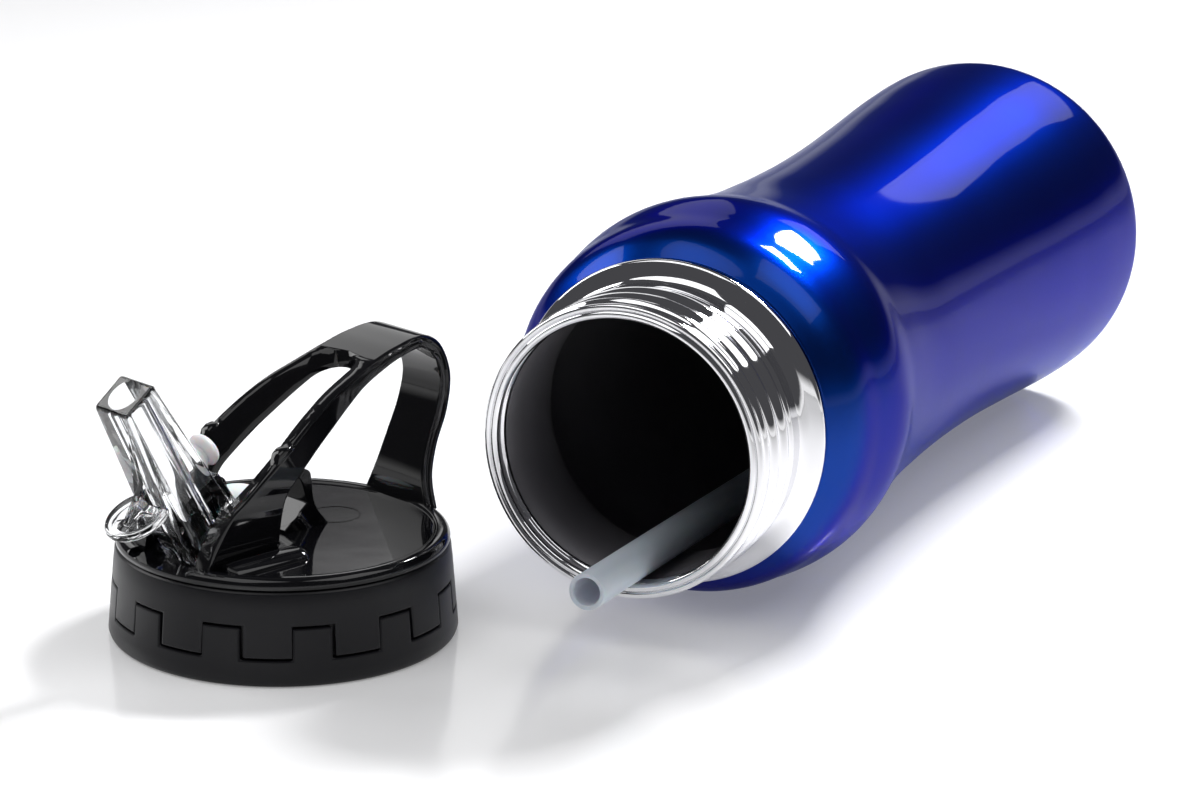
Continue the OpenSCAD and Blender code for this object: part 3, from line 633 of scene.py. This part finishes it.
plug = turned("vent_plug_button", [(0, 5.2), (2.85, 5.2), (3, 5.35), (3, 6), (2.85, 6.15), (2.2, 6.3), (2.1, 7.1), (2.6, 7.3)]
              + arc(1.6, 8.15, 1.4, -20, 90, 10) + [(0, 9.55)], on_spout(0, 0, 14.8), back, along, 96, closed=True)
plug.data.materials.append(rubber.material)
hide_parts("vent_plug")
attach(plug, "spout")

# --- Studio ---------------------------------------------------------------------------------
# A white glossy table, a pale wall glow at the horizon under a dark ceiling, and softboxes
# behind, overhead and at the left.

bpy.ops.object.select_all(action="DESELECT")
bpy.ops.mesh.primitive_plane_add(size=12, location=(0, 0, 0))
table = bpy.context.object
table.name = "table_top"
white = Finish("white_table", base_color=(0.92, 0.92, 0.93), roughness=0.16, emission_color=(1, 1, 1), emission_strength=0.2)
table.data.materials.append(white.material)


def softbox(name, azimuth, elevation, distance, width, height, radiance, tint=(1, 1, 1)):
    """An area light that faces the middle of the bottle, placed by its bearing from +Y."""
    a, e = math.radians(azimuth), math.radians(elevation)
    aim = Vector((0, -0.02, 0.03))
    toward = Vector((math.sin(a) * math.cos(e), math.cos(a) * math.cos(e), math.sin(e)))
    lamp = bpy.data.lights.new(name, "AREA")
    lamp.shape, lamp.size, lamp.size_y = "RECTANGLE", width, height
    lamp.energy = radiance * math.pi * width * height
    lamp.color = tint
    holder = bpy.data.objects.new(name, lamp)
    holder.location = aim + toward * distance
    holder.rotation_mode = "QUATERNION"
    holder.rotation_quaternion = toward.to_track_quat("Z", "Y")
    bpy.context.scene.collection.objects.link(holder)
    return holder


key_box = softbox("key_box", 11, 41, 0.8, 0.22, 0.10, 110)
key_box.location = mouth + Vector((0.14, 0.60, 0.55))
softbox("back_box", 5, 29, 1.3, 0.34, 0.34, 2.4)
softbox("front_fill", -150, 62, 1.7, 1.3, 1.1, 1.6)
softbox("overhead_box", 85, 58, 1.3, 0.9, 0.8, 1.8)
softbox("left_back_box", -40, 30, 1.4, 0.9, 0.55, 1.2)
softbox("left_box", -95, 30, 1.4, 0.6, 0.7, 4)

world = bpy.data.worlds.new("studio")
bpy.context.scene.world = world
world.use_nodes = True
sky = world.node_tree
bearing = sky.nodes.new("ShaderNodeTexCoord")
split = sky.nodes.new("ShaderNodeSeparateXYZ")
fade = sky.nodes.new("ShaderNodeValToRGB")
fade.color_ramp.elements[0].position, fade.color_ramp.elements[0].color = 0.03, (1.0, 1.0, 1.0, 1)
fade.color_ramp.elements[1].position, fade.color_ramp.elements[1].color = 0.10, (0.07, 0.07, 0.075, 1)
sky.links.new(bearing.outputs["Generated"], split.inputs[0])
sky.links.new(split.outputs["Z"], fade.inputs[0])
sky.links.new(fade.outputs[0], sky.nodes["Background"].inputs["Color"])

# --- Camera ---------------------------------------------------------------------------------
# Low three-quarter view over the lid, along the lying bottle.

lens = bpy.data.cameras.new("camera")
camera = bpy.data.objects.new("camera", lens)
bpy.context.scene.collection.objects.link(camera)
bpy.context.scene.camera = camera
lens.lens, lens.sensor_width, lens.clip_start = 107.4, 36, 0.01
bearing, dip, roll = math.radians(24.08), 0.2833, 0.0182
ahead = Vector((-math.sin(bearing) * math.cos(dip), math.cos(bearing) * math.cos(dip), -math.sin(dip)))
level = Vector((math.cos(bearing), math.sin(bearing), 0))
upward = level.cross(ahead)
right = level * math.cos(roll) + upward * math.sin(roll)
top = right.cross(ahead)
turn = Matrix((right, top, -ahead)).transposed()
camera.matrix_world = Matrix.Translation(Vector((mouth.x + 0.2306, mouth.y - 0.5246, 0.2111))) @ turn.to_4x4()
bpy.context.scene.view_settings.view_transform = "Standard"
